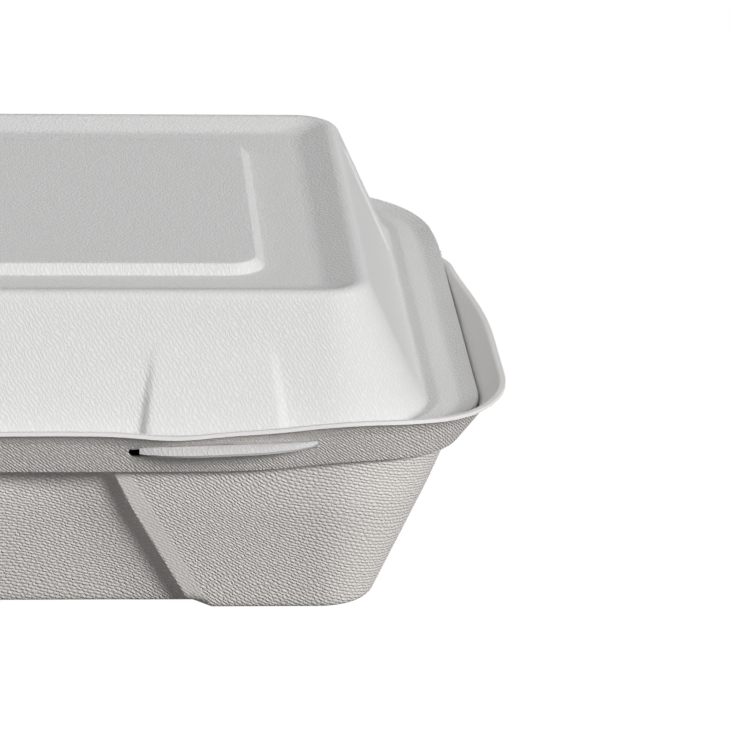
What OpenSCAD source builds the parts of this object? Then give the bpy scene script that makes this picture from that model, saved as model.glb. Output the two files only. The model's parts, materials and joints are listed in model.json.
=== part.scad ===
// Moulded-fibre takeout box: a square tray with a flared rim, and a domed lid that folds over from the back edge,
// drops inside the rim and locks with two tongues that poke out through slots in the front of the rim.
// The origin is the middle of the floor, +Z is up, and the front (with the slots) faces -Y.

/* [Tray] */
// Half width of the floor
floor_half = 81; // [77:0.5:84]
// Half width of the wall where it meets the rim ledge
wall_half = 100.5; // [96:0.5:102]
// Height of the rim ledge above the table
ledge_height = 43; // [36:0.5:46]
// Width of the small ledge under the rim band
ledge_width = 1.6; // [0.8:0.1:2.2]
// Outward run of the flared rim band
band_run = 6.9; // [6:0.1:9]
// Height of the flared rim band
band_rise = 9.6; // [8.8:0.1:11]
// Outward run of the lip above the band
lip_run = 4.4; // [3:0.1:6]
// Height of the lip above the band
lip_rise = 3.8; // [3:0.1:5]
// Rounding under the edge of the floor
floor_round = 3; // [2:0.5:5]
// Radius of the tightest corner in plan
tight_corner = 11.4; // [8:0.2:18]
// Thickness of the moulded fibre
wall = 0.9; // [0.6:0.05:1.2]

/* [Rim at the back] */
// Place along Y where the rim starts to drop towards the hinge
drop_start = -40; // [-60:1:30]
// Place along Y where the rim has come down to the hinge
drop_end = 56; // [44:1:66]

/* [Finger recess] */
// Depth of the recess in the front wall
recess_depth = 4.8; // [2:0.1:7]
// Half width of the recess at its top
recess_top_half = 13.5; // [8:0.5:25]
// Half width of the recess at the floor
recess_bottom_half = 36.5; // [26:0.5:50]
// How far the sides of the recess open out from back to front
recess_draft = 3; // [1:0.1:6]

/* [Lid] */
// Height of the top of the lid above the table
lid_top = 82.3; // [72:0.1:95]
// Gap between the edge of the lid's flange and the top of the rim band
flange_gap = 2.4; // [2.2:0.1:4.4]
// Width of the lip at the edge of the flange
flange_lip = 4.6; // [3:0.1:6]
// Depth of the channel inside that lip
channel_depth = 2.6; // [1.5:0.1:3]
// Width of the channel's inner slope
channel_slope = 5.2; // [3.5:0.1:6]
// Width of the slope between that channel's ridge and the foot of the dome
foot_slope = 3.4; // [2:0.1:5]
// Half width of the dome at its top edge
dome_top_half = 78.8; // [76:0.1:84]
// Rounding of the dome's top edge
dome_round = 3; // [2:0.5:6]

/* [Lid panel] */
// Width of the raised border round the top
border_width = 7.6; // [4:0.2:10]
// Depth of the groove round the panel, with sides at 45 degrees
groove_depth = 2.5; // [1:0.1:3.5]
// Width of the flat floor of the groove
groove_width = 13.7; // [6:0.1:24]
// Radius of the panel's corners
panel_corner = 7; // [4:0.5:12]
// Radius of the groove's outer corners
groove_corner = 5; // [4:0.5:10]

/* [Locks] */
// Distance of each lock from the middle of the front
lock_offset = 42; // [34:0.5:50]
// Length of each slot in the rim
slot_length = 46; // [40:0.5:52]
// Height of each slot
slot_height = 3.3; // [3:0.1:4.6]
// Room above a tongue in its slot
tongue_room = 1.2; // [0.6:0.1:1.5]
// Spare room at each end of a tongue in its slot
tongue_side_room = 1.5; // [0.5:0.1:4]
// How far a tongue sticks out past the lid's edge
tongue_reach = 6.6; // [5:0.1:7.2]
// Distance of each raised pad from the middle of the front
pad_offset = 40; // [34:0.5:48]
// Half width of a raised pad at its top
pad_top_half = 13.3; // [8:0.1:18]
// Half width of a raised pad at its foot
pad_foot_half = 17.5; // [10:0.1:22]
// How far a pad stands out at its foot
pad_reach = 3; // [1.5:0.1:3.4]
// Height of a pad above the foot of the dome
pad_height = 20; // [10:0.5:24]
// How far the sides of a pad open out from front to back
pad_draft = 1.6; // [0.5:0.1:3]

/* [Hinge] */
// Radius of the folded bead along the hinge
bead_radius = 1.1; // [0.9:0.05:1.3]
// Gap between the lid and the tray wherever they pass each other
clearance = 0.3; // [0.2:0.05:0.5]

/* [Hidden] */
$fn = 48;
fibre = [0.82, 0.81, 0.78];
overcut = 1;
fade = 0.3;
arc_steps = 3;
drop_steps = 14;
grid = 0.001;

ledge_round = wall + 0.2;
corner_centre = min(floor_half, dome_top_half) - tight_corner;
rim_half = wall_half + ledge_width + band_run + lip_run;
band_top = ledge_height + band_rise;
rim_top = band_top + lip_rise;
flange_top = band_top + clearance;
flange_half = rim_half - lip_run - flange_gap;
ridge_half = flange_half - flange_lip - channel_slope;
dome_foot_half = ridge_half - foot_slope;
hinge_z = flange_top - wall;
drop_level = hinge_z - clearance;
hinge_y = flange_half + bead_radius;
slot_top = flange_top + tongue_room;
slot_middle = slot_top - slot_height / 2;
groove_floor = lid_top - groove_depth;
groove_half = dome_top_half - border_width;
panel_half = groove_half - 2 * groove_depth - groove_width;

tray_outline = [
    [floor_half, 0, floor_round],
    [wall_half, ledge_height, 0],
    [wall_half + ledge_width, ledge_height, ledge_round],
    [wall_half + ledge_width + band_run, band_top, 4],
    [rim_half, rim_top, 0]
];
lid_outline = [
    [flange_half, flange_top, 0],
    [flange_half - flange_lip, flange_top - channel_depth, 2],
    [ridge_half, flange_top - wall, 1.5],
    [dome_foot_half, flange_top - channel_depth * 0.7, 1.5],
    [dome_top_half, lid_top, dome_round]
];

// Plain vector helpers for outlines in the plane of half width and height.
function flat(p) = [p.x, p.y];
function along(a, b) = (flat(b) - flat(a)) / norm(flat(b) - flat(a));
function normal_of(d) = [-d.y, d.x];
function on_grid(v) = round(v / grid) * grid;

// The points of an arc of the given radius that rounds the corner b between a and c.
function rounded_corner(a, b, c) =
    let (u = along(b, a), v = along(b, c), half_turn = acos(u * v) / 2)
    let (back = b[2] / tan(half_turn), middle = flat(b) + (u + v) / norm(u + v) * b[2] / sin(half_turn))
    let (from = flat(b) + u * back - middle, to = flat(b) + v * back - middle)
    [for (i = [0 : arc_steps]) let (blend = from + (to - from) * i / arc_steps) middle + blend / norm(blend) * b[2]];

// An outline with its corners rounded. The first and last points meet level runs towards the middle.
function rounded(points, first, last) = [
    for (i = [0 : len(points) - 1])
        let (before = i == 0 ? first : points[i - 1], after = i == len(points) - 1 ? last : points[i + 1])
        each points[i][2] == 0 ? [flat(points[i])] : rounded_corner(before, points[i], after)
];

// An outline moved sideways by a distance, so that a wall of even thickness lies between the two.
function shifted(points, distance, first, last) = [
    for (i = [0 : len(points) - 1])
        let (before = i == 0 ? first : points[i - 1], after = i == len(points) - 1 ? last : points[i + 1])
        let (n = normal_of(along(before, points[i])), m = normal_of(along(points[i], after)))
        points[i] + distance * (n + m) / (1 + n * m)
];

tray_inward = [corner_centre, 0];
tray_onward = [rim_half + lip_run, rim_top + lip_rise];
tray_skin = rounded(tray_outline, tray_inward, tray_onward);
tray_lining = shifted(tray_skin, wall, tray_inward, tray_onward);
lid_onward = [flange_half + flange_lip, flange_top + channel_depth];
lid_inward = [corner_centre, lid_top];
lid_skin = rounded(lid_outline, lid_onward, lid_inward);
lid_lining = shifted(lid_skin, wall, lid_onward, lid_inward);
lid_below = flange_top - channel_depth - 2 * wall;

// A solid with rounded corners in plan: the profile, in half width and height, runs round the whole square.
// Sizes are rounded to a fine grid, so that the straight and the round stretches meet exactly.
module swept(profile, centre) {
    right = [for (p = profile) [on_grid(p.x), on_grid(p.y)]];
    left = [for (i = [len(right) - 1 : -1 : 0]) [-right[i].x, right[i].y]];
    middle = on_grid(centre);
    side = [for (p = right) [p.x - middle, p.y]];
    rotate([90, 0, 0])
        linear_extrude(2 * middle, center = true)
            polygon(concat(right, left));
    for (turn = [0, 180])
        rotate([0, 0, turn])
            translate([-middle, middle, 0])
                rotate([90, 0, 90])
                    linear_extrude(2 * middle)
                        polygon(side);
    for (turn = [0 : 90 : 270])
        rotate([0, 0, turn])
            translate([middle, middle, 0])
                rotate_extrude(angle = 90)
                    polygon(side);
}

// Everything on the far side of a plane, as a block larger than the box.
module beyond_plane(point, normal) {
    reach = 4 * rim_half;
    translate(point)
        rotate([0, acos(normal.z), atan2(normal.y, normal.x)])
            translate([-reach / 2, -reach / 2, 0])
                cube(reach);
}

// A wedge with a drafted panel, for a front wall which leans from foot to top.
// Foot and top are places on the wall, as half width and height, each with a half width and a depth of the panel.
// A panel with a depth is pressed into the wall; one with a depth below zero stands out of it.
module front_wedge(foot, top, foot_half, top_half, foot_depth, top_depth, draft, thickness) {
    foot_y = foot_depth - foot.x;
    top_y = top_depth - top.x;
    rise = [top_half - foot_half, top_y - foot_y, top.y - foot.y];
    opening = [draft, -foot_depth, 0];
    side = sign(foot_depth) * cross(rise, opening) / norm(cross(rise, opening));
    run = sign(foot_depth) * thickness;
    difference() {
        rotate([90, 0, 90])
            linear_extrude(2 * rim_half, center = true)
                polygon([[foot_y, foot.y], [top_y, top.y], [top_y - run, top.y], [foot_y - run, foot.y]]);
        beyond_plane([foot_half, foot_y, foot.y], side);
        beyond_plane([-foot_half, foot_y, foot.y], [-side.x, side.y, side.z]);
    }
}

function on_tray_wall(z) = [floor_half + (wall_half - floor_half) * z / ledge_height, z];
function on_dome_wall(z) =
    let (foot = lid_outline[3], share = (z - foot.y) / (lid_top - foot.y))
    [foot.x + (dome_top_half - foot.x) * share, z];

module finger_recess(grow) {
    front_wedge(on_tray_wall(-overcut), on_tray_wall(ledge_height - wall / 2 + grow), recess_bottom_half + grow,
        recess_top_half + grow, recess_depth + grow, recess_depth + grow, recess_draft, rim_half - floor_half);
}

module lid_pad(shrink) {
    foot = lid_outline[3].y;
    front_wedge(on_dome_wall(foot - shrink), on_dome_wall(foot + pad_height), pad_foot_half - shrink,
        pad_top_half - shrink, shrink - pad_reach, shrink + fade, pad_draft, pad_reach + 2 * wall);
}

// The space above the rim line, which comes down in a smooth curve towards the hinge.
module rim_drop() {
    curve = [
        for (i = [0 : drop_steps])
            let (t = i / drop_steps)
            [drop_start + (drop_end - drop_start) * t, rim_top - (rim_top - drop_level) * (1 - cos(180 * t)) / 2]
    ];
    far = rim_half + overcut;
    rotate([90, 0, 90])
        linear_extrude(2 * far, center = true)
            polygon(concat(curve, [[far, drop_level], [far, rim_top + far], [drop_start, rim_top + far]]));
}

module slot() {
    end = slot_height / 2;
    translate([0, -wall_half, slot_middle])
        rotate([90, 0, 0])
            linear_extrude(rim_half)
                union() {
                    square([slot_length - slot_height, slot_height], center = true);
                    for (x = [-1, 1])
                        translate([x * (slot_length / 2 - end), 0])
                            circle(end);
                }
}

module hinge_bead(radius) {
    translate([0, hinge_y, hinge_z])
        rotate([0, 90, 0])
            cylinder(h = 2 * corner_centre, r = radius, center = true);
}

// A tongue with a bowed front edge, flat on the lid's flange.
module tongue() {
    half = slot_length / 2 - tongue_side_room;
    tip = flange_half + tongue_reach;
    root = flange_half - flange_lip / 2;
    bow = tongue_reach - 2;
    bow_radius = (half * half + bow * bow) / (2 * bow);
    translate([0, 0, flange_top - wall])
        linear_extrude(wall)
            intersection() {
                translate([-half, -tip])
                    square([2 * half, tip - root]);
                translate([0, bow_radius - tip])
                    circle(bow_radius, $fn = 180);
            }
}

module groove(shift) {
    low = groove_floor - shift;
    high = lid_top + overcut;
    spread = shift * (sqrt(2) - 1);
    rise = high - groove_floor;
    foot = groove_half - groove_depth + spread;
    inner_foot = panel_half + groove_depth - spread;
    foot_centre = foot - groove_corner + groove_depth;
    panel_centre = panel_half - panel_corner;
    difference() {
        swept([[foot_centre, low], [foot, low], [foot + rise + shift, high], [foot_centre, high]], foot_centre);
        swept([[panel_centre, low - overcut], [inner_foot + overcut, low - overcut],
            [inner_foot - rise - shift, high], [panel_centre, high]], panel_centre);
    }
}

module tray() {
    color(fibre)
        union() {
            difference() {
                swept(concat([tray_inward], tray_skin, [[corner_centre, rim_top]]), corner_centre);
                difference() {
                    swept(concat([[corner_centre, wall]], tray_lining, [tray_onward + [0, overcut],
                        [corner_centre, tray_onward.y + overcut]]), corner_centre);
                    finger_recess(wall);
                }
                finger_recess(0);
                rim_drop();
                for (x = [-lock_offset, lock_offset])
                    translate([x, 0, 0])
                        slot();
            }
            hinge_bead(bead_radius);
        }
}

module lid() {
    color(fibre)
        union() {
            difference() {
                union() {
                    swept(concat([[corner_centre, lid_below], [flange_half, lid_below]], lid_skin, [lid_inward]),
                        corner_centre);
                    for (x = [-pad_offset, pad_offset])
                        translate([x, 0, 0])
                            lid_pad(0);
                }
                difference() {
                    union() {
                        swept(concat([[corner_centre, lid_below - overcut], [lid_onward.x, lid_below - overcut],
                            lid_onward - [0, wall]], lid_lining, [[corner_centre, lid_top - wall]]), corner_centre);
                        for (x = [-pad_offset, pad_offset])
                            translate([x, 0, 0])
                                lid_pad(wall);
                    }
                    groove(wall);
                }
                groove(0);
                hinge_bead(bead_radius + clearance);
            }
            for (x = [-lock_offset, lock_offset])
                translate([x, 0, 0])
                    tongue();
        }
}

tray();
lid();
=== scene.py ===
# %% [markdown]
# # A moulded-fibre takeout box
# The box is pressed from wet plant fibre on a wire screen, so it is one thin sheet with soft edges, a
# rough outside that keeps the print of the wires, and smooth inner faces. Two shells make it: a square
# tray with a flared rim, and a domed lid that folds over from the back and locks with two tongues at the
# front. The CAD model gives the sizes and the hinge. This lesson models both shells again as sheets,
# which can carry the softness of the real thing.

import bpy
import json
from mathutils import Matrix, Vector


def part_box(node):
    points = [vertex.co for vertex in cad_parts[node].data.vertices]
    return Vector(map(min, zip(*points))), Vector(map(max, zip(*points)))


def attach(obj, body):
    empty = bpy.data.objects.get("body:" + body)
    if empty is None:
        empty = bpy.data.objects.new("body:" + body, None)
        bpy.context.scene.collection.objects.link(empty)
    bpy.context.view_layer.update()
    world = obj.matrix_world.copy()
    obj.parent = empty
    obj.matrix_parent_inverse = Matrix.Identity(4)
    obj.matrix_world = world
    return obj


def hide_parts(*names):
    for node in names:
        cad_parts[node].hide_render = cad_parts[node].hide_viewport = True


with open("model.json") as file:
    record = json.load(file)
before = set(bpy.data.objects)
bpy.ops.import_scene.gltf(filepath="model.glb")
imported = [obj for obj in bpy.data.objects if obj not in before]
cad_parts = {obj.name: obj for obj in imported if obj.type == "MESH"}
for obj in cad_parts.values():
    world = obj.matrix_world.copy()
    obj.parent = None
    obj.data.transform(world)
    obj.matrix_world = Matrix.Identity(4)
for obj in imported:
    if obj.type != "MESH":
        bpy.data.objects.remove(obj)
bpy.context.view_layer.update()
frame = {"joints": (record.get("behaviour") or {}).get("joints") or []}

import json
import math

import bmesh
import bpy
from mathutils import Matrix, Vector

tray_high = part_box("tray")[1]
lid_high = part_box("lid")[1]
hinge_place = Vector(frame["joints"][0]["pos_m"])

# %% [markdown]
# ## Sizes
# Everything is in metres. The outer sizes come from the frame, so the sheets stay on the CAD model. The
# smaller sizes are those of the mould: the slopes, the ledge, the channel and the groove.

# %% Sizes of the mould
mm = 0.001
fibre_thickness = 0.9 * mm
rim_half = tray_high[0]
rim_top = tray_high[2]
lid_top = lid_high[2]
lip_run = 4.4 * mm
lip_rise = 3.8 * mm
band_half = rim_half - lip_run
band_top = rim_top - lip_rise
ledge_half = band_half - 6.9 * mm
ledge_height = band_top - 9.6 * mm
wall_half = ledge_half - 1.6 * mm
floor_half = wall_half - 19.5 * mm
corner_centre = 67.4 * mm
flange_half = lid_high[0]
flange_top = band_top + 0.3 * mm
channel_half = flange_half - 4.6 * mm
channel_depth = 2.6 * mm
ridge_half = channel_half - 5.2 * mm
foot_half = ridge_half - 3.4 * mm
foot_height = flange_top - 0.7 * channel_depth
dome_half = foot_half - 14.6 * mm
groove_half = dome_half - 7.6 * mm
groove_depth = 2.5 * mm
panel_half = groove_half - 2 * groove_depth - 13.7 * mm
panel_corner = 7 * mm
lock_offset = 42 * mm
slot_length = 46 * mm
slot_height = 3.3 * mm
print("rim", round(2 * rim_half, 4), "floor", round(2 * floor_half, 4))
print("lid top", round(lid_top, 4))

# %% [markdown]
# ## Helpers for working as by hand
# In edit mode an operator acts on what is selected, so a helper picks points, edges or faces by their
# place. A profile is a list of half widths and heights. Its corners are eased with arcs, because wet
# fibre can't make a sharp bend, and long runs are split so that the sheet has enough points to shape
# later.

# %% Pick parts of a sheet by their place
def pick(sheet, kind, test):
    bpy.ops.mesh.select_mode(type=kind)
    bpy.ops.mesh.select_all(action="DESELECT")
    mesh = bmesh.from_edit_mesh(sheet.data)
    parts = {"VERT": mesh.verts, "EDGE": mesh.edges, "FACE": mesh.faces}[kind]
    count = 0
    for part in parts:
        if test(part):
            part.select_set(True)
            count += 1
    mesh.select_flush_mode()
    bmesh.update_edit_mesh(sheet.data)
    return count


def middle(edge):
    return (edge.verts[0].co + edge.verts[1].co) / 2


# %% Ease and split a profile
def eased(points, steps=4):
    path = []
    for i, (half, z, radius) in enumerate(points):
        here = Vector((half, z))
        if radius == 0:
            path.append(here)
            continue
        back = (Vector(points[i - 1][:2]) - here).normalized()
        on = (Vector(points[i + 1][:2]) - here).normalized()
        half_turn = back.angle(on) / 2
        centre = here + (back + on).normalized() * radius / math.sin(half_turn)
        reach = radius / math.tan(half_turn)
        start = here + back * reach - centre
        end = here + on * reach - centre
        for step in range(steps + 1):
            path.append(centre + start.lerp(end, step / steps).normalized() * radius)
    return path


def split(path, longest):
    points = [path[0]]
    for a, b in zip(path, path[1:]):
        pieces = max(1, math.ceil((b - a).length / longest))
        points += [a.lerp(b, i / pieces) for i in range(1, pieces + 1)]
    return points


# %% [markdown]
# ## A rounded square, pressed along a profile
# Both shells are rounded squares all the way, so the natural way is the one a modeller would use: start
# from a plane, round its corners with a vertex bevel, then inset the face again and again. Each inset
# takes the outline inwards by the run of the profile and moves it up or down by its rise.

# %% Start a sheet and follow a profile
side_cuts = 89
corner_steps = 26


def rounded_square(sheet, corner, longer_than):
    bpy.ops.mesh.bevel(offset=corner, offset_type="OFFSET", segments=corner_steps, affect="VERTICES")
    pick(sheet, "EDGE", lambda e: e.calc_length() > longer_than)
    bpy.ops.mesh.subdivide(number_cuts=side_cuts)


def start_sheet(name, half, z, corner):
    bpy.ops.object.select_all(action="DESELECT")
    bpy.ops.mesh.primitive_plane_add(size=2 * half, location=(0, 0, z))
    bpy.ops.object.transform_apply(location=True, rotation=True, scale=True)
    sheet = bpy.context.object
    sheet.name = name
    bpy.ops.object.mode_set(mode="EDIT")
    bpy.ops.mesh.select_all(action="SELECT")
    rounded_square(sheet, corner, half)
    pick(sheet, "FACE", lambda f: True)
    return sheet


def press_along(path):
    for here, there in zip(path, path[1:]):
        bpy.ops.mesh.inset(thickness=here.x - there.x, depth=there.y - here.y)


# %% [markdown]
# ## The tray
# The tray is the lower shell: a lip, a flared band, a small ledge, a sloping wall and a flat floor. It is
# pressed from the lip downwards, and the faces are then turned so that they look out of the box.

# %% Press the tray
tray_corner = 3 * mm
notch_rise = 0.7 * mm
floor_margin = 4 * mm
floor_inset = 8 * mm
longest_run = 2 * mm
# Each row is a half width, a height and the radius of the bend there.
tray_path = eased([
    (rim_half, rim_top, 0),
    (rim_half - 1.1 * mm, rim_top - 0.1 * mm, 0.3 * mm),
    (band_half, band_top, 4 * mm),
    (ledge_half + 0.3 * mm, ledge_height, 0.5 * mm),
    (wall_half + 0.3 * mm, ledge_height + notch_rise, 0.2 * mm),
    (wall_half - 1.1 * mm, ledge_height - 1.4 * mm, 0.6 * mm),
    (floor_half, 0, tray_corner),
    (corner_centre, 0, 0),
])
tray_path = split(tray_path, longest_run)
tray = start_sheet("tray_shell", rim_half, rim_top, rim_half - corner_centre)
press_along([p for p in tray_path if p.x > floor_half - floor_margin])
bpy.ops.mesh.inset(thickness=floor_inset)
bpy.ops.mesh.poke()
bpy.ops.mesh.select_all(action="SELECT")
bpy.ops.mesh.flip_normals()
print("tray sheet", len(bmesh.from_edit_mesh(tray.data).verts), "points")

# %% [markdown]
# ## The finger recess
# The middle of the front wall is pressed in, with sides that lean outwards to the floor, so that a thumb
# can get under the rim. Slanted bisect lines give the sheet points along the recess's sides. Each point
# then goes in along a curve that is steep at the side and eases off towards the middle. A narrow band
# outside the side bulges a little, and at the floor it goes in with the recess.

# %% Cut lines along slanted sides
def bisect_front(sheet, place, lean, low, high):
    def is_front(face):
        centre = face.calc_center_median()
        return centre.y < -corner_centre and low < centre.z < high

    pick(sheet, "FACE", is_front)
    bpy.ops.mesh.bisect(plane_co=(place, 0, 0), plane_no=Vector((1, 0, lean)).normalized())


def step_curve(t):
    t = min(1, max(0, t))
    return t * t * (3 - 2 * t)


# %% Press the recess in
recess_depth = 4.8 * mm
recess_top_half = 15.2 * mm
recess_bottom_half = 36.2 * mm
recess_side = 5.5 * mm
recess_sweep = 20 * mm
recess_band = 4.5 * mm
recess_edge = -0.45 * mm
recess_fade = 5 * mm
recess_foot = 4 * mm
side_share = 0.55
side_power = 2.2
wall_reach = wall_half + 0.4 * mm
recess_lines = (-16, -12, -9, -7, -5.5, -4.3, -3.4, -2.6, -1.9, -1.2, -0.6, -0.2,
    0.1, 0.7, 1.5, 2.4, 3.3, 4.2, 4.8)
recess_lean = (recess_bottom_half - recess_top_half) / ledge_height


def recess_at(across, z):
    side = min(1, max(0, -across / recess_side))
    sweep = min(1, max(0, -across / recess_sweep))
    edge = recess_edge * step_curve((ledge_height - z) / recess_fade)
    band = max(0, 1 - max(0, across) / recess_band)
    foot = recess_depth * band * step_curve((recess_foot - z) / recess_foot)
    steep = side_share * (1 - (1 - side) ** side_power)
    pressed = steep + (1 - side_share) * (1 - (1 - sweep) ** 2)
    return max(foot, edge * band + (recess_depth - edge) * pressed)


for side in (-1, 1):
    for line in recess_lines:
        place = side * (recess_bottom_half + line * mm)
        bisect_front(tray, place, side * recess_lean, -mm, ledge_height + mm)
moved = 0
for point in bmesh.from_edit_mesh(tray.data).verts:
    if -wall_reach < point.co.y < -corner_centre and point.co.z < ledge_height + mm:
        across = abs(point.co.x) - recess_bottom_half + recess_lean * point.co.z
        point.co.y += recess_at(across, point.co.z)
        moved += 1
bmesh.update_edit_mesh(tray.data)
print("recess shaped over", moved, "points of the front wall")

# %% [markdown]
# ## The rim drops towards the hinge
# The front of the rim stands above the lid's edge. Along the sides it comes down to the height of the
# fold, and it goes a little lower still at the back corners. The rows of the band slide down its own
# slope, so the flare stays as it is.

# %% Lower the rim
drop_start = -40 * mm
drop_end = 56 * mm
drop_level = hinge_place.z - 0.3 * mm
drop_foot = ledge_height + 2 * mm
dip_depth = 2.8 * mm
dip_x = 66 * mm
dip_x_run = 8 * mm
dip_y = 30 * mm
dip_y_run = 28 * mm


def rim_height(x, y):
    along = min(1, max(0, (y - drop_start) / (drop_end - drop_start)))
    dip = dip_depth * step_curve((abs(x) - dip_x) / dip_x_run) * step_curve((y - dip_y) / dip_y_run)
    return rim_top - (rim_top - drop_level) * (1 - math.cos(math.pi * along)) / 2 - dip


def flare(z):
    if z > band_top:
        return band_half + (z - band_top) * lip_run / lip_rise
    return ledge_half + (z - ledge_height) * (band_half - ledge_half) / (band_top - ledge_height)


def from_core(point):
    core_x = min(corner_centre, max(-corner_centre, point.x))
    core_y = min(corner_centre, max(-corner_centre, point.y))
    return Vector((point.x - core_x, point.y - core_y, 0)).normalized()


for point in bmesh.from_edit_mesh(tray.data).verts:
    if point.co.z > drop_foot:
        share = (point.co.z - drop_foot) / (rim_top - drop_foot)
        lower = drop_foot + share * (rim_height(point.co.x, point.co.y) - drop_foot)
        point.co -= from_core(point.co) * (flare(point.co.z) - flare(lower))
        point.co.z = lower
bmesh.update_edit_mesh(tray.data)
print("rim from", round(rim_top, 4), "at the front to", round(drop_level, 4), "at the back")

# %% [markdown]
# ## A rim that warped as it dried
# Wet fibre shrinks unevenly in the oven. On this box the front of the rim has lifted, most of all towards
# its corners, and the lip dips a little over the inner end of each slot. The points of the rim go up by a
# smooth swell.

# %% Warp the rim
front_start = 40 * mm
front_run = 40 * mm
# The level and the peak of the lift are in millimetres.
lift_level = 1.4
lift_end = 112 * mm
lift_run = 25 * mm
lift_peak = 2.3
peak_place = 74 * mm
peak_width = 18 * mm
lift_foot = 30 * mm
lift_rise = 13 * mm
lip_dip = 1.2 * mm
lip_dip_place = 30 * mm
lip_dip_width = 11 * mm
lip_dip_foot = 2 * mm
lip_dip_rise = 4 * mm


def swell(x, place, width):
    return math.exp(-(((abs(x) - place) / width) ** 2))


def rim_lift(x, y):
    front = step_curve((-y - front_start) / front_run)
    level = lift_level * step_curve((lift_end - abs(x)) / lift_run)
    return front * (level + lift_peak * swell(x, peak_place, peak_width)) * mm


for point in bmesh.from_edit_mesh(tray.data).verts:
    x, y, z = point.co
    point.co.z += rim_lift(x, y) * step_curve((z - lift_foot) / lift_rise)
    if y < -corner_centre:
        dip = lip_dip * swell(x, lip_dip_place, lip_dip_width)
        point.co.z -= dip * step_curve((z - band_top + lip_dip_foot) / lip_dip_rise)
bmesh.update_edit_mesh(tray.data)
bpy.ops.object.mode_set(mode="OBJECT")
print("tray sheet", len(tray.data.vertices), "points")

# %% [markdown]
# ## Finishes
# One kind of fibre makes every face, but three looks show: the outside with the print of the wire screen,
# the smooth inside, and the pale cut edge. The print is rows of short staggered dashes that wander a
# little, so it is built once as a node group on the sheet's own map, and each finish sets its own size,
# slope and depth. A mark on the points, press, says how deep the screen went in at each place.

# %% Node helpers
def put(tree, kind, **settings):
    node = tree.nodes.new(kind)
    for name, value in settings.items():
        setattr(node, name, value)
    return node


def math_node(tree, operation, *inputs):
    node = put(tree, "ShaderNodeMath", operation=operation)
    for socket, value in zip(node.inputs, inputs):
        if isinstance(value, bpy.types.NodeSocket):
            tree.links.new(value, socket)
        else:
            socket.default_value = value
    return node.outputs[0]


# %% The print of the wire screen
print_settings = ("Row", "Dash", "Slope", "Turn", "Wander")
sway_reach = 12.0
bend_place = 38.0
bend_width = 18.0
row_stagger = 0.46
chance_stagger = 0.25
dash_power = 0.7
grain_gain = 1.3
grain_base = 0.35


def noise(tree, scale, detail):
    node = put(tree, "ShaderNodeTexNoise", noise_dimensions="3D")
    node.inputs["Scale"].default_value = scale
    node.inputs["Detail"].default_value = detail
    return node


def screen_print_group():
    tree = bpy.data.node_groups.new("Screen print", "ShaderNodeTree")
    tree.interface.new_socket("Map", in_out="INPUT", socket_type="NodeSocketVector")
    for name in print_settings:
        tree.interface.new_socket(name, in_out="INPUT", socket_type="NodeSocketFloat")
    tree.interface.new_socket("Height", in_out="OUTPUT", socket_type="NodeSocketFloat")
    given = put(tree, "NodeGroupInput").outputs
    out = put(tree, "NodeGroupOutput")
    slow = noise(tree, 0.02, 1)
    fine = noise(tree, 0.55, 2)
    grain = noise(tree, 1.1, 3)
    parts = put(tree, "ShaderNodeSeparateXYZ")
    for node in (slow, fine, grain, parts):
        tree.links.new(given["Map"], node.inputs["Vector"])
    u, v = parts.outputs[0], parts.outputs[1]

    def run(operation, *inputs):
        return math_node(tree, operation, *inputs)

    sway = run("MULTIPLY", run("SUBTRACT", slow.outputs[0], 0.5), sway_reach)
    jitter = run("MULTIPLY", run("SUBTRACT", fine.outputs[0], 0.5), given["Wander"])
    bend = run("TANH", run("DIVIDE", run("SUBTRACT", u, bend_place), bend_width))
    drift = run("ADD", run("MULTIPLY", u, given["Slope"]), run("MULTIPLY", bend, given["Turn"]))
    across = run("ADD", run("ADD", v, drift), run("ADD", sway, jitter))
    row = run("DIVIDE", across, given["Row"])
    count = run("FLOOR", row)
    chance = put(tree, "ShaderNodeTexWhiteNoise", noise_dimensions="1D")
    tree.links.new(count, chance.inputs["W"])
    shift = run("MULTIPLY", chance.outputs[0], chance_stagger)
    stagger = run("ADD", run("MULTIPLY", count, row_stagger), shift)
    dash = run("ADD", run("DIVIDE", u, given["Dash"]), run("ADD", stagger, jitter))
    ridge = run("SINE", run("MULTIPLY", run("FRACT", row), math.pi))
    length = run("SINE", run("MULTIPLY", run("FRACT", dash), math.pi))
    worn = run("ADD", run("MULTIPLY", grain.outputs[0], grain_gain), grain_base)
    height = run("MULTIPLY", run("MULTIPLY", ridge, run("POWER", length, dash_power)), worn)
    tree.links.new(height, out.inputs["Height"])
    return tree


screen_print = screen_print_group()
print("print group with", len(screen_print.nodes), "nodes")


# %% Fibre finishes
map_to_mm = 100
flat_height = 0.6


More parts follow.
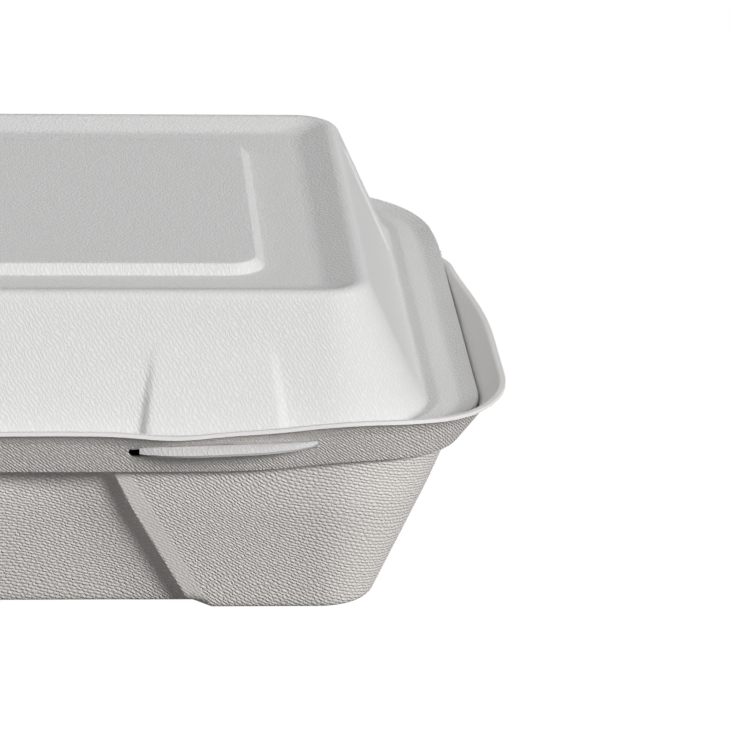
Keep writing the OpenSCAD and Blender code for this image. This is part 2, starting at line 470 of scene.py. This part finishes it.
def fibre_finish(name, colour, hollow_painted_shade, depth, *settings):
    material = bpy.data.materials.new(name)
    material.use_nodes = True
    tree = material.node_tree
    shader = tree.nodes["Principled BSDF"]
    shader.inputs["Roughness"].default_value = 0.85
    shader.inputs["Specular IOR Level"].default_value = 0.2
    wrap = put(tree, "ShaderNodeUVMap", uv_map="Wrap")
    scale = put(tree, "ShaderNodeVectorMath", operation="SCALE")
    scale.inputs["Scale"].default_value = map_to_mm
    tree.links.new(wrap.outputs[0], scale.inputs[0])
    marks = put(tree, "ShaderNodeGroup", node_tree=screen_print)
    tree.links.new(scale.outputs[0], marks.inputs["Map"])
    for socket, value in zip(print_settings, settings):
        marks.inputs[socket].default_value = value
    press = put(tree, "ShaderNodeAttribute", attribute_name="press").outputs["Fac"]
    pressed = math_node(tree, "MULTIPLY", marks.outputs["Height"], press)
    flat = math_node(tree, "MULTIPLY", math_node(tree, "SUBTRACT", 1, press), flat_height)
    height = math_node(tree, "ADD", pressed, flat)
    # The colour runs from the hollow colour up to the ridge colour with the print's height, so the
    # hollows carry painted shade on top of the bump.
    shade = put(tree, "ShaderNodeMix", data_type="RGBA")
    shade.inputs[6].default_value = (*hollow_painted_shade, 1)
    shade.inputs[7].default_value = (*colour, 1)
    tree.links.new(height, shade.inputs[0])
    tree.links.new(shade.outputs[2], shader.inputs["Base Color"])
    bump = put(tree, "ShaderNodeBump")
    bump.inputs["Strength"].default_value = 1
    bump.inputs["Distance"].default_value = depth
    tree.links.new(height, bump.inputs["Height"])
    tree.links.new(bump.outputs[0], shader.inputs["Normal"])
    return material


# After the name: ridge colour, hollow colour (darker, painted shade in the print's hollows), depth, then
# row, dash, slope, turn and wander.
tray_outside = fibre_finish("Tray outside", (0.85, 0.82, 0.79), (0.71, 0.68, 0.65), 0.18 * mm,
    1.04, 1.5, 0.3, 9, 1.1)
tray_inside = fibre_finish("Tray inside", (0.72, 0.705, 0.69), (0.70, 0.685, 0.67), 0.03 * mm,
    0.9, 1.3, 0.4, 0, 1.2)
lid_outside = fibre_finish("Lid outside", (0.67, 0.668, 0.666), (0.61, 0.608, 0.606), 0.08 * mm,
    1.8, 0.95, 1.6, 0, 3.2)
lid_inside = fibre_finish("Lid inside", (0.74, 0.73, 0.72), (0.72, 0.71, 0.70), 0.03 * mm,
    0.9, 1.3, 0.4, 0, 1.2)
cut_edge = fibre_finish("Cut edge", (0.80, 0.79, 0.78), (0.76, 0.75, 0.74), 0.01 * mm,
    0.6, 0.9, 0.4, 0, 1.0)
print("finishes", [m.name for m in bpy.data.materials])

# %% [markdown]
# ## Thickness and slots
# A Solidify modifier gives the sheet its wall. Its material offsets put the smooth finish on the inside
# and the pale one on the cut edge. The slots are punched after pressing on the real box too, so they are
# Boolean cuts through the finished wall. They rise a little towards the corners, as the warped rim does.

# %% Give a sheet its wall
def thicken(sheet, *finishes):
    for finish in finishes:
        sheet.data.materials.append(finish)
    bpy.ops.object.select_all(action="DESELECT")
    sheet.select_set(True)
    bpy.context.view_layer.objects.active = sheet
    wall = sheet.modifiers.new("Wall", "SOLIDIFY")
    wall.thickness = fibre_thickness
    wall.offset = -1
    wall.use_even_offset = False
    wall.use_quality_normals = True
    wall.material_offset = 1
    wall.material_offset_rim = 2
    bpy.ops.object.modifier_apply(modifier="Wall")
    print(sheet.name, len(sheet.data.vertices), "points with its wall")


def trim(sheet, cutter):
    for finish in sheet.data.materials:
        cutter.data.materials.append(finish)
    for face in cutter.data.polygons:
        face.material_index = 2
    bpy.context.view_layer.objects.active = sheet
    cut = sheet.modifiers.new("Trim", "BOOLEAN")
    cut.object = cutter
    cut.operation = "DIFFERENCE"
    cut.solver = "EXACT"
    bpy.ops.object.modifier_apply(modifier="Trim")
    bpy.data.objects.remove(cutter)


thicken(tray, tray_outside, tray_inside, cut_edge)

# %% Slot cutters
slot_rise = 0.05
slot_corner = 1.6 * mm
cutter_depth = 24 * mm
slot_middle = flange_top + 1.2 * mm - slot_height / 2
for side in (-1, 1):
    bpy.ops.object.select_all(action="DESELECT")
    bpy.ops.mesh.primitive_cube_add(size=1, location=(side * lock_offset, -rim_half, slot_middle),
        scale=(slot_length, cutter_depth, slot_height))
    bpy.ops.object.transform_apply(location=True, rotation=True, scale=True)
    cutter = bpy.context.object
    bpy.ops.object.mode_set(mode="EDIT")
    pick(cutter, "EDGE", lambda e: abs(e.verts[0].co.y - e.verts[1].co.y) > cutter_depth / 2)
    bpy.ops.mesh.bevel(offset=slot_corner, segments=8, affect="EDGES")
    for point in bmesh.from_edit_mesh(cutter.data).verts:
        point.co.z += slot_rise * (abs(point.co.x) - lock_offset)
    bmesh.update_edit_mesh(cutter.data)
    bpy.ops.object.mode_set(mode="OBJECT")
    trim(tray, cutter)
print("slots cut,", len(tray.data.vertices), "points")

# %% [markdown]
# ## The lid
# The lid starts at the edge of its flange, dips into a channel that stiffens it, climbs the dome and ends
# in a raised border with a groove inside. It is pressed along its profile just as the tray was.

# %% Press the lid
border_crest = dome_half - 3 * mm
border_edge = border_crest - 4 * mm
lid_path = eased([
    (flange_half, flange_top, 0),
    (channel_half, flange_top - 0.6 * channel_depth, 5 * mm),
    (ridge_half, flange_top - fibre_thickness, 3 * mm),
    (foot_half, foot_height, 1.5 * mm),
    (dome_half, lid_top, 3 * mm),
    (border_crest, lid_top, 4 * mm),
    (border_edge, lid_top - groove_depth / 2, 0),
])
lid = start_sheet("lid_shell", flange_half, flange_top, flange_half - corner_centre)
press_along(split(lid_path, longest_run))
print("lid sheet", len(bmesh.from_edit_mesh(lid.data).verts), "points up to its border")

# %% [markdown]
# ## The groove and the raised panel
# The middle of the lid is a flat panel inside a shallow groove, both with rounder corners than an inset
# would leave them. So each starts as a new rounded square with as many points as the ring around it, and
# the two are bridged.

# %% Add a ring inside the last one
def ring_inside(sheet, half_x, half_y, y, z, corner):
    bpy.ops.mesh.delete(type="ONLY_FACE")
    bpy.ops.mesh.select_all(action="DESELECT")
    bpy.ops.mesh.primitive_plane_add(size=2, location=(0, y, z))
    bpy.ops.transform.resize(value=(half_x, half_y, 1), center_override=(0, y, z))
    rounded_square(sheet, corner, half_x)

    def open_inside(edge):
        return len(edge.link_faces) < 2 and max(abs(middle(edge).x), abs(middle(edge).y)) < dome_half

    pick(sheet, "EDGE", open_inside)
    bpy.ops.mesh.bridge_edge_loops(number_cuts=2, interpolation="LINEAR")
    pick(sheet, "FACE", lambda f: len(f.verts) > corner_steps)


groove_foot = border_edge - 4 * mm
groove_corner = 6.5 * mm
groove_flat = 2 * mm
ring_inside(lid, groove_foot, groove_foot, 0, lid_top - groove_depth, groove_corner)
bpy.ops.mesh.inset(thickness=groove_flat)
print("groove foot", round(2 * groove_foot, 4), "wide")

# %% Raise the panel
panel_foot = panel_half + groove_depth
panel_x = panel_foot - 0.7 * mm
panel_y = panel_foot + 2 * mm
panel_shift = -mm
ring_inside(lid, panel_x, panel_y, panel_shift, lid_top - groove_depth, panel_corner + groove_depth)
panel_path = eased([
    (panel_foot, lid_top - groove_depth, 0),
    (panel_foot - 0.3 * mm, lid_top - groove_depth, 0.4 * mm),
    (panel_half, lid_top, 0.7 * mm),
    (panel_half - 2 * mm, lid_top, 0),
])
press_along(split(panel_path, longest_run))
bpy.ops.mesh.poke()
bpy.ops.mesh.select_all(action="SELECT")
bpy.ops.mesh.normals_make_consistent(inside=False)
panel = max(bmesh.from_edit_mesh(lid.data).faces, key=lambda f: f.calc_area())
if panel.normal.z < 0:
    bpy.ops.mesh.flip_normals()
print("lid sheet", len(bmesh.from_edit_mesh(lid.data).verts), "points")

# %% [markdown]
# ## Raised pads behind the tongues
# Above each tongue the dome's front carries a pad that is proud of the wall at its foot and dies out
# higher up. It stiffens the lid where the tongue pulls. Slanted lines mark its sides, then its points
# come forward.

# %% Pull the pads forward
pad_offset = 40 * mm
pad_top_half = 13.3 * mm
pad_foot_half = 16.2 * mm
pad_reach = 3 * mm
pad_height = 20 * mm
pad_side = 2.4 * mm
pad_lines = 5
pad_lean = (pad_foot_half - pad_top_half) / pad_height
for pad in (-pad_offset, pad_offset):
    for side in (-1, 1):
        for line in range(pad_lines):
            out = pad_side * line / (pad_lines - 1)
            place = pad + side * (pad_foot_half + out + pad_lean * foot_height)
            bisect_front(lid, place, side * pad_lean, foot_height - mm, foot_height + pad_height)
for point in bmesh.from_edit_mesh(lid.data).verts:
    height = point.co.z - foot_height
    half = -point.co.y
    if half < corner_centre or half > ridge_half or height > pad_height:
        continue
    across = abs(abs(point.co.x) - pad_offset) - pad_foot_half + pad_lean * height
    share = min(1, (ridge_half - half) / (ridge_half - foot_half)) * min(1, 1 - height / pad_height)
    point.co.y -= pad_reach * share * step_curve(1 - across / pad_side)
bmesh.update_edit_mesh(lid.data)
print("pads", round(2 * pad_foot_half, 4), "wide at the foot,", pad_reach, "proud")

# %% [markdown]
# ## A rib on each side of the dome
# A thin rib runs down both sides of the dome near the back, leaning a little to the front. It is a ridge
# only a fraction of a millimetre proud, so a few bisect lines close together are enough to carry it.

# %% Raise the side ribs
rib_foot_y = 45 * mm
rib_lean = 0.27
rib_height = 0.8 * mm
rib_width = 1.1 * mm
rib_fade = 4 * mm
rib_lines = (-2.4, -1.5, -0.8, -0.3, 0.3, 0.8, 1.5, 2.4)


def on_side(face):
    spot = face.calc_center_median()
    return abs(spot.x) > corner_centre and abs(spot.y) < corner_centre and spot.z > foot_height


for line in rib_lines:
    pick(lid, "FACE", on_side)
    bpy.ops.mesh.bisect(plane_co=(0, rib_foot_y + line * mm, foot_height),
        plane_no=Vector((0, 1, -rib_lean)).normalized())
for point in bmesh.from_edit_mesh(lid.data).verts:
    height = point.co.z - foot_height
    if abs(point.co.x) > dome_half - mm and height > 0:
        away = (point.co.y - rib_foot_y - rib_lean * height) / rib_width
        share = step_curve(height / rib_fade) * step_curve((lid_top - point.co.z) / rib_fade)
        point.co.x += math.copysign(rib_height * share * math.exp(-away * away), point.co.x)
bmesh.update_edit_mesh(lid.data)
print("ribs", rib_height, "proud")

# %% [markdown]
# ## The tongues
# Each tongue is a bowed flap that grows out of the flange's front edge and rests in its slot. The edge is
# extruded in a few rows, and each row then takes its share of the bow.

# %% Extrude the tongues
tongue_offset = 43 * mm
tongue_half = 21.5 * mm
tongue_reach = 5.3 * mm
tongue_rows = 5
tongue_ends = 2 * mm
bow_power = 3
arch_height = 1.1 * mm
arch_turn = 1.1
for side in (-1, 1):
    def on_edge(edge):
        spot = middle(edge)
        near = abs(spot.x - side * tongue_offset) < tongue_half
        return near and len(edge.link_faces) == 1 and spot.y < -flange_half + mm

    count = pick(lid, "EDGE", on_edge)
    for row in range(tongue_rows):
        bpy.ops.mesh.extrude_edges_move(TRANSFORM_OT_translate={"value": (0, -mm, 0)})
    print("tongue from", count, "edges of the flange")
for point in bmesh.from_edit_mesh(lid.data).verts:
    if point.co.y < -flange_half - mm / 2:
        row = round((-flange_half - point.co.y) / mm)
        bow = 1 - abs((abs(point.co.x) - tongue_offset) / tongue_half) ** bow_power
        reach = tongue_ends + (tongue_reach - tongue_ends) * max(0, bow)
        point.co.y = -flange_half - reach * row / tongue_rows
        point.co.z += arch_height * math.sin(math.pi * arch_turn * row / tongue_rows)
        point.co.z += slot_rise * (abs(point.co.x) - tongue_offset) * row / tongue_rows
bmesh.update_edit_mesh(lid.data)

# %% [markdown]
# ## A flange that gives a little
# Where the fold ends, the flange of the real lid sags a little at both back corners. Points far out on
# the flange go down and in there, most at the corner itself and not at all over the fold. At the front
# corners the flange rests on the lifted rim, so there it goes up with it.

# %% Shape the flange's corners
sag = 0.7 * mm
draw_in = 2 * sag
sag_start = 26 * mm
sag_run = 12 * mm
sag_x_run = 14 * mm
sag_y = 50 * mm
sag_y_run = 30 * mm
rest_x = 62 * mm
rest_run = 10 * mm


def past_core(x, y):
    return math.hypot(max(0, x - corner_centre), max(0, y - corner_centre))


for point in bmesh.from_edit_mesh(lid.data).verts:
    x, y = abs(point.co.x), point.co.y
    out = step_curve((past_core(x, y) - sag_start) / sag_run)
    weight = out * step_curve((x - corner_centre) / sag_x_run) * step_curve((y - sag_y) / sag_y_run)
    point.co.z -= sag * weight
    point.co.x -= math.copysign(draw_in * weight, point.co.x)
for point in bmesh.from_edit_mesh(lid.data).verts:
    x, y = point.co.x, point.co.y
    half = corner_centre + past_core(abs(x), abs(y))
    weight = step_curve((half - foot_half) / (flange_half - foot_half))
    point.co.z += rim_lift(x, y) * weight * step_curve((abs(x) - rest_x) / rest_run)
bmesh.update_edit_mesh(lid.data)
bpy.ops.object.mode_set(mode="OBJECT")
thicken(lid, lid_outside, lid_inside, cut_edge)

# %% [markdown]
# ## The hinge
# The lid and the tray of the real box are one sheet, folded along a thinned line at the back. The fold
# shows as a soft bead along the middle of the back edge, which the lid turns about.

# %% Roll the bead
bead_radius = 1.1 * mm
bead_round = 0.5 * mm
bpy.ops.object.select_all(action="DESELECT")
bpy.ops.mesh.primitive_cylinder_add(vertices=24, radius=bead_radius, depth=2 * corner_centre,
    location=hinge_place, rotation=(0, math.pi / 2, 0))
bpy.ops.object.transform_apply(location=True, rotation=True, scale=True)
bead = bpy.context.object
bead.name = "hinge_bead"
bpy.ops.object.mode_set(mode="EDIT")
pick(bead, "EDGE", lambda e: abs(abs(middle(e).x) - corner_centre) < 0.1 * mm)
bpy.ops.mesh.bevel(offset=bead_round, segments=4, affect="EDGES")
bpy.ops.object.mode_set(mode="OBJECT")
bead.data.materials.append(tray_outside)
print("bead", len(bead.data.vertices), "points")

# %% [markdown]
# ## A map that wraps the sheet
# The screen was bent round the mould, so its print follows the walls round the corners. The map unrolls
# the box: across is the way round from the middle of the front, up is the height. Level faces, and all
# faces inside the core of the box, simply use their place from above. On the rim's band the print slants
# more, so the map leans there.

# %% Unroll the sheets
map_scale = 10
map_height_scale = 10.8
band_slant = 6
band_start = ledge_height + 0.5 * mm
level_normal = 0.8
seam_gap = 0.01 * mm
faint_press = 0.35
smooth_angle = math.radians(50)


def way_round(x, y):
    c = corner_centre
    side = math.copysign(1, x)
    x = abs(x)
    corner = past_core(x, abs(y))
    arc = corner * math.pi / 2
    if x <= c and y < 0:
        return side * x
    if x > c and y < -c:
        return side * (c + corner * math.atan2(x - c, -y - c))
    if x > c and y <= c:
        return side * (2 * c + arc + y)
    if x > c:
        return side * (3 * c + arc + corner * math.atan2(y - c, x - c))
    return side * (4 * c + 2 * arc - x)


def press_at(x, y, z):
    if y > -corner_centre or z > ledge_height:
        return 1
    across = abs(x) - recess_bottom_half + recess_lean * z
    return faint_press if 0 <= across < recess_band else 1


def unroll(sheet):
    wrap = sheet.data.uv_layers.new(name="Wrap")
    press = sheet.data.attributes.new("press", "FLOAT", "POINT")
    for point in sheet.data.vertices:
        press.data[point.index].value = press_at(*point.co) if sheet == tray else 1
    for face in sheet.data.polygons:
        spot = face.center
        inner = max(abs(spot.x), abs(spot.y)) < corner_centre
        level = inner or abs(face.normal.z) > level_normal
        on_band = sheet == tray and spot.z > band_start + rim_lift(spot.x, spot.y)
        slant = band_slant if on_band else 0
        for loop in face.loop_indices:
            x, y, z = sheet.data.vertices[sheet.data.loops[loop].vertex_index].co
            if level:
                wrap.data[loop].uv = (x * map_scale, y * map_scale)
                continue
            if abs(x) < seam_gap:
                x = math.copysign(seam_gap, spot.x)
            round_it = way_round(x, y)
            wrap.data[loop].uv = (round_it * map_scale, z * map_height_scale + round_it * slant)
    print(sheet.name, "unrolled,", len(sheet.data.polygons), "faces")


for sheet in (tray, lid, bead):
    unroll(sheet)
    bpy.ops.object.select_all(action="DESELECT")
    sheet.select_set(True)
    bpy.context.view_layer.objects.active = sheet
    bpy.ops.object.shade_smooth_by_angle(angle=smooth_angle)

# %% [markdown]
# ## Which body each piece rides on
# The shells take the place of the plain CAD solids. The tray and the bead stay still, and the lid turns
# on its hinge.

# %% Say what moves with what
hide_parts("tray")
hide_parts("lid")
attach(tray, "tray")
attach(bead, "tray")
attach(lid, "lid")
print("pieces", [piece.name for piece in (tray, lid, bead)])

# %% [markdown]
# ## A white floor
# The box stands on a white sweep. The camera sees the floor and the sky as white, but both throw little
# light back, so the undersides of the box stay dark. A light path node tells what the camera sees from
# what lights the box.

# %% White floor
glow_share = 0.9


def seen_directly(tree):
    path = put(tree, "ShaderNodeLightPath")
    shiny = math_node(tree, "MAXIMUM", path.outputs["Is Glossy Ray"], path.outputs["Is Transmission Ray"])
    return math_node(tree, "MAXIMUM", path.outputs["Is Camera Ray"], shiny)


bpy.ops.object.select_all(action="DESELECT")
bpy.ops.mesh.primitive_plane_add(size=6, location=(0, 0, 0))
floor = bpy.context.object
floor.name = "floor"
paper = bpy.data.materials.new("White sweep")
paper.use_nodes = True
tree = paper.node_tree
shader = tree.nodes["Principled BSDF"]
shader.inputs["Base Color"].default_value = (0.14, 0.14, 0.14, 1)
shader.inputs["Roughness"].default_value = 0.9
glow = put(tree, "ShaderNodeEmission")
glow.inputs["Strength"].default_value = 1.1
share = math_node(tree, "MULTIPLY", seen_directly(tree), glow_share)
blend = put(tree, "ShaderNodeMixShader")
tree.links.new(share, blend.inputs[0])
tree.links.new(shader.outputs[0], blend.inputs[1])
tree.links.new(glow.outputs[0], blend.inputs[2])
tree.links.new(blend.outputs[0], tree.nodes["Material Output"].inputs["Surface"])
floor.data.materials.append(paper)
print("floor staged")

# %% [markdown]
# ## Light
# A low key from the front right draws the print and the soft edges. It stands higher than the camera's
# own view, so the ledge and the lip throw a thin shadow that shows. A wide, weaker light from above fills
# the left.

# %% Sky and lamps
sky_light = 0.06
scene = bpy.context.scene
scene.view_settings.view_transform = "Standard"
world = bpy.data.worlds.new("Sky")
scene.world = world
world.use_nodes = True
tree = world.node_tree
sky = tree.nodes["Background"]
level = math_node(tree, "ADD", math_node(tree, "MULTIPLY", seen_directly(tree), 1 - sky_light), sky_light)
tree.links.new(level, sky.inputs["Strength"])
sky.inputs["Color"].default_value = (1, 1, 1, 1)


def lamp(name, strength, azimuth, elevation, spread):
    data = bpy.data.lights.new(name, "SUN")
    data.energy = strength
    data.angle = math.radians(spread)
    thing = bpy.data.objects.new(name, data)
    scene.collection.objects.link(thing)
    a, e = math.radians(azimuth), math.radians(elevation)
    towards = Vector((math.sin(a) * math.cos(e), -math.cos(a) * math.cos(e), math.sin(e)))
    thing.rotation_euler = towards.to_track_quat("Z", "Y").to_euler()
    print(name, "from", azimuth, "degrees round and", elevation, "up")


lamp("Key light", 3.15, 39, 27, 14)
lamp("High light", 1.0, -60, 66, 60)

# %% [markdown]
# ## Camera
# The photo looks down at the box through a long lens, with the middle of the box far left of the
# picture's middle. So the camera stands square in front of the box, tips down, and then turns to the
# right.

# %% Camera
sight_offset = 315
focal_length = 4455
eye = Vector((0, -1.1135, 0.427))
look_down = math.radians(19.35)
turn_right = math.atan(sight_offset / focal_length)
forward = Vector((0, math.cos(look_down), -math.sin(look_down)))
right = Vector((1, 0, 0))
up = right.cross(forward)
forward, right = (forward * math.cos(turn_right) + right * math.sin(turn_right),
    right * math.cos(turn_right) - forward * math.sin(turn_right))
camera_data = bpy.data.cameras.new("Camera")
camera_data.sensor_width = 36
camera_data.lens = 220.5
camera_data.clip_end = 20
camera = bpy.data.objects.new("Camera", camera_data)
scene.collection.objects.link(camera)
turn = Matrix((right, up, -forward)).transposed()
camera.matrix_world = Matrix.Translation(eye) @ turn.to_4x4()
scene.camera = camera
print("camera at", list(eye), "lens", camera_data.lens)
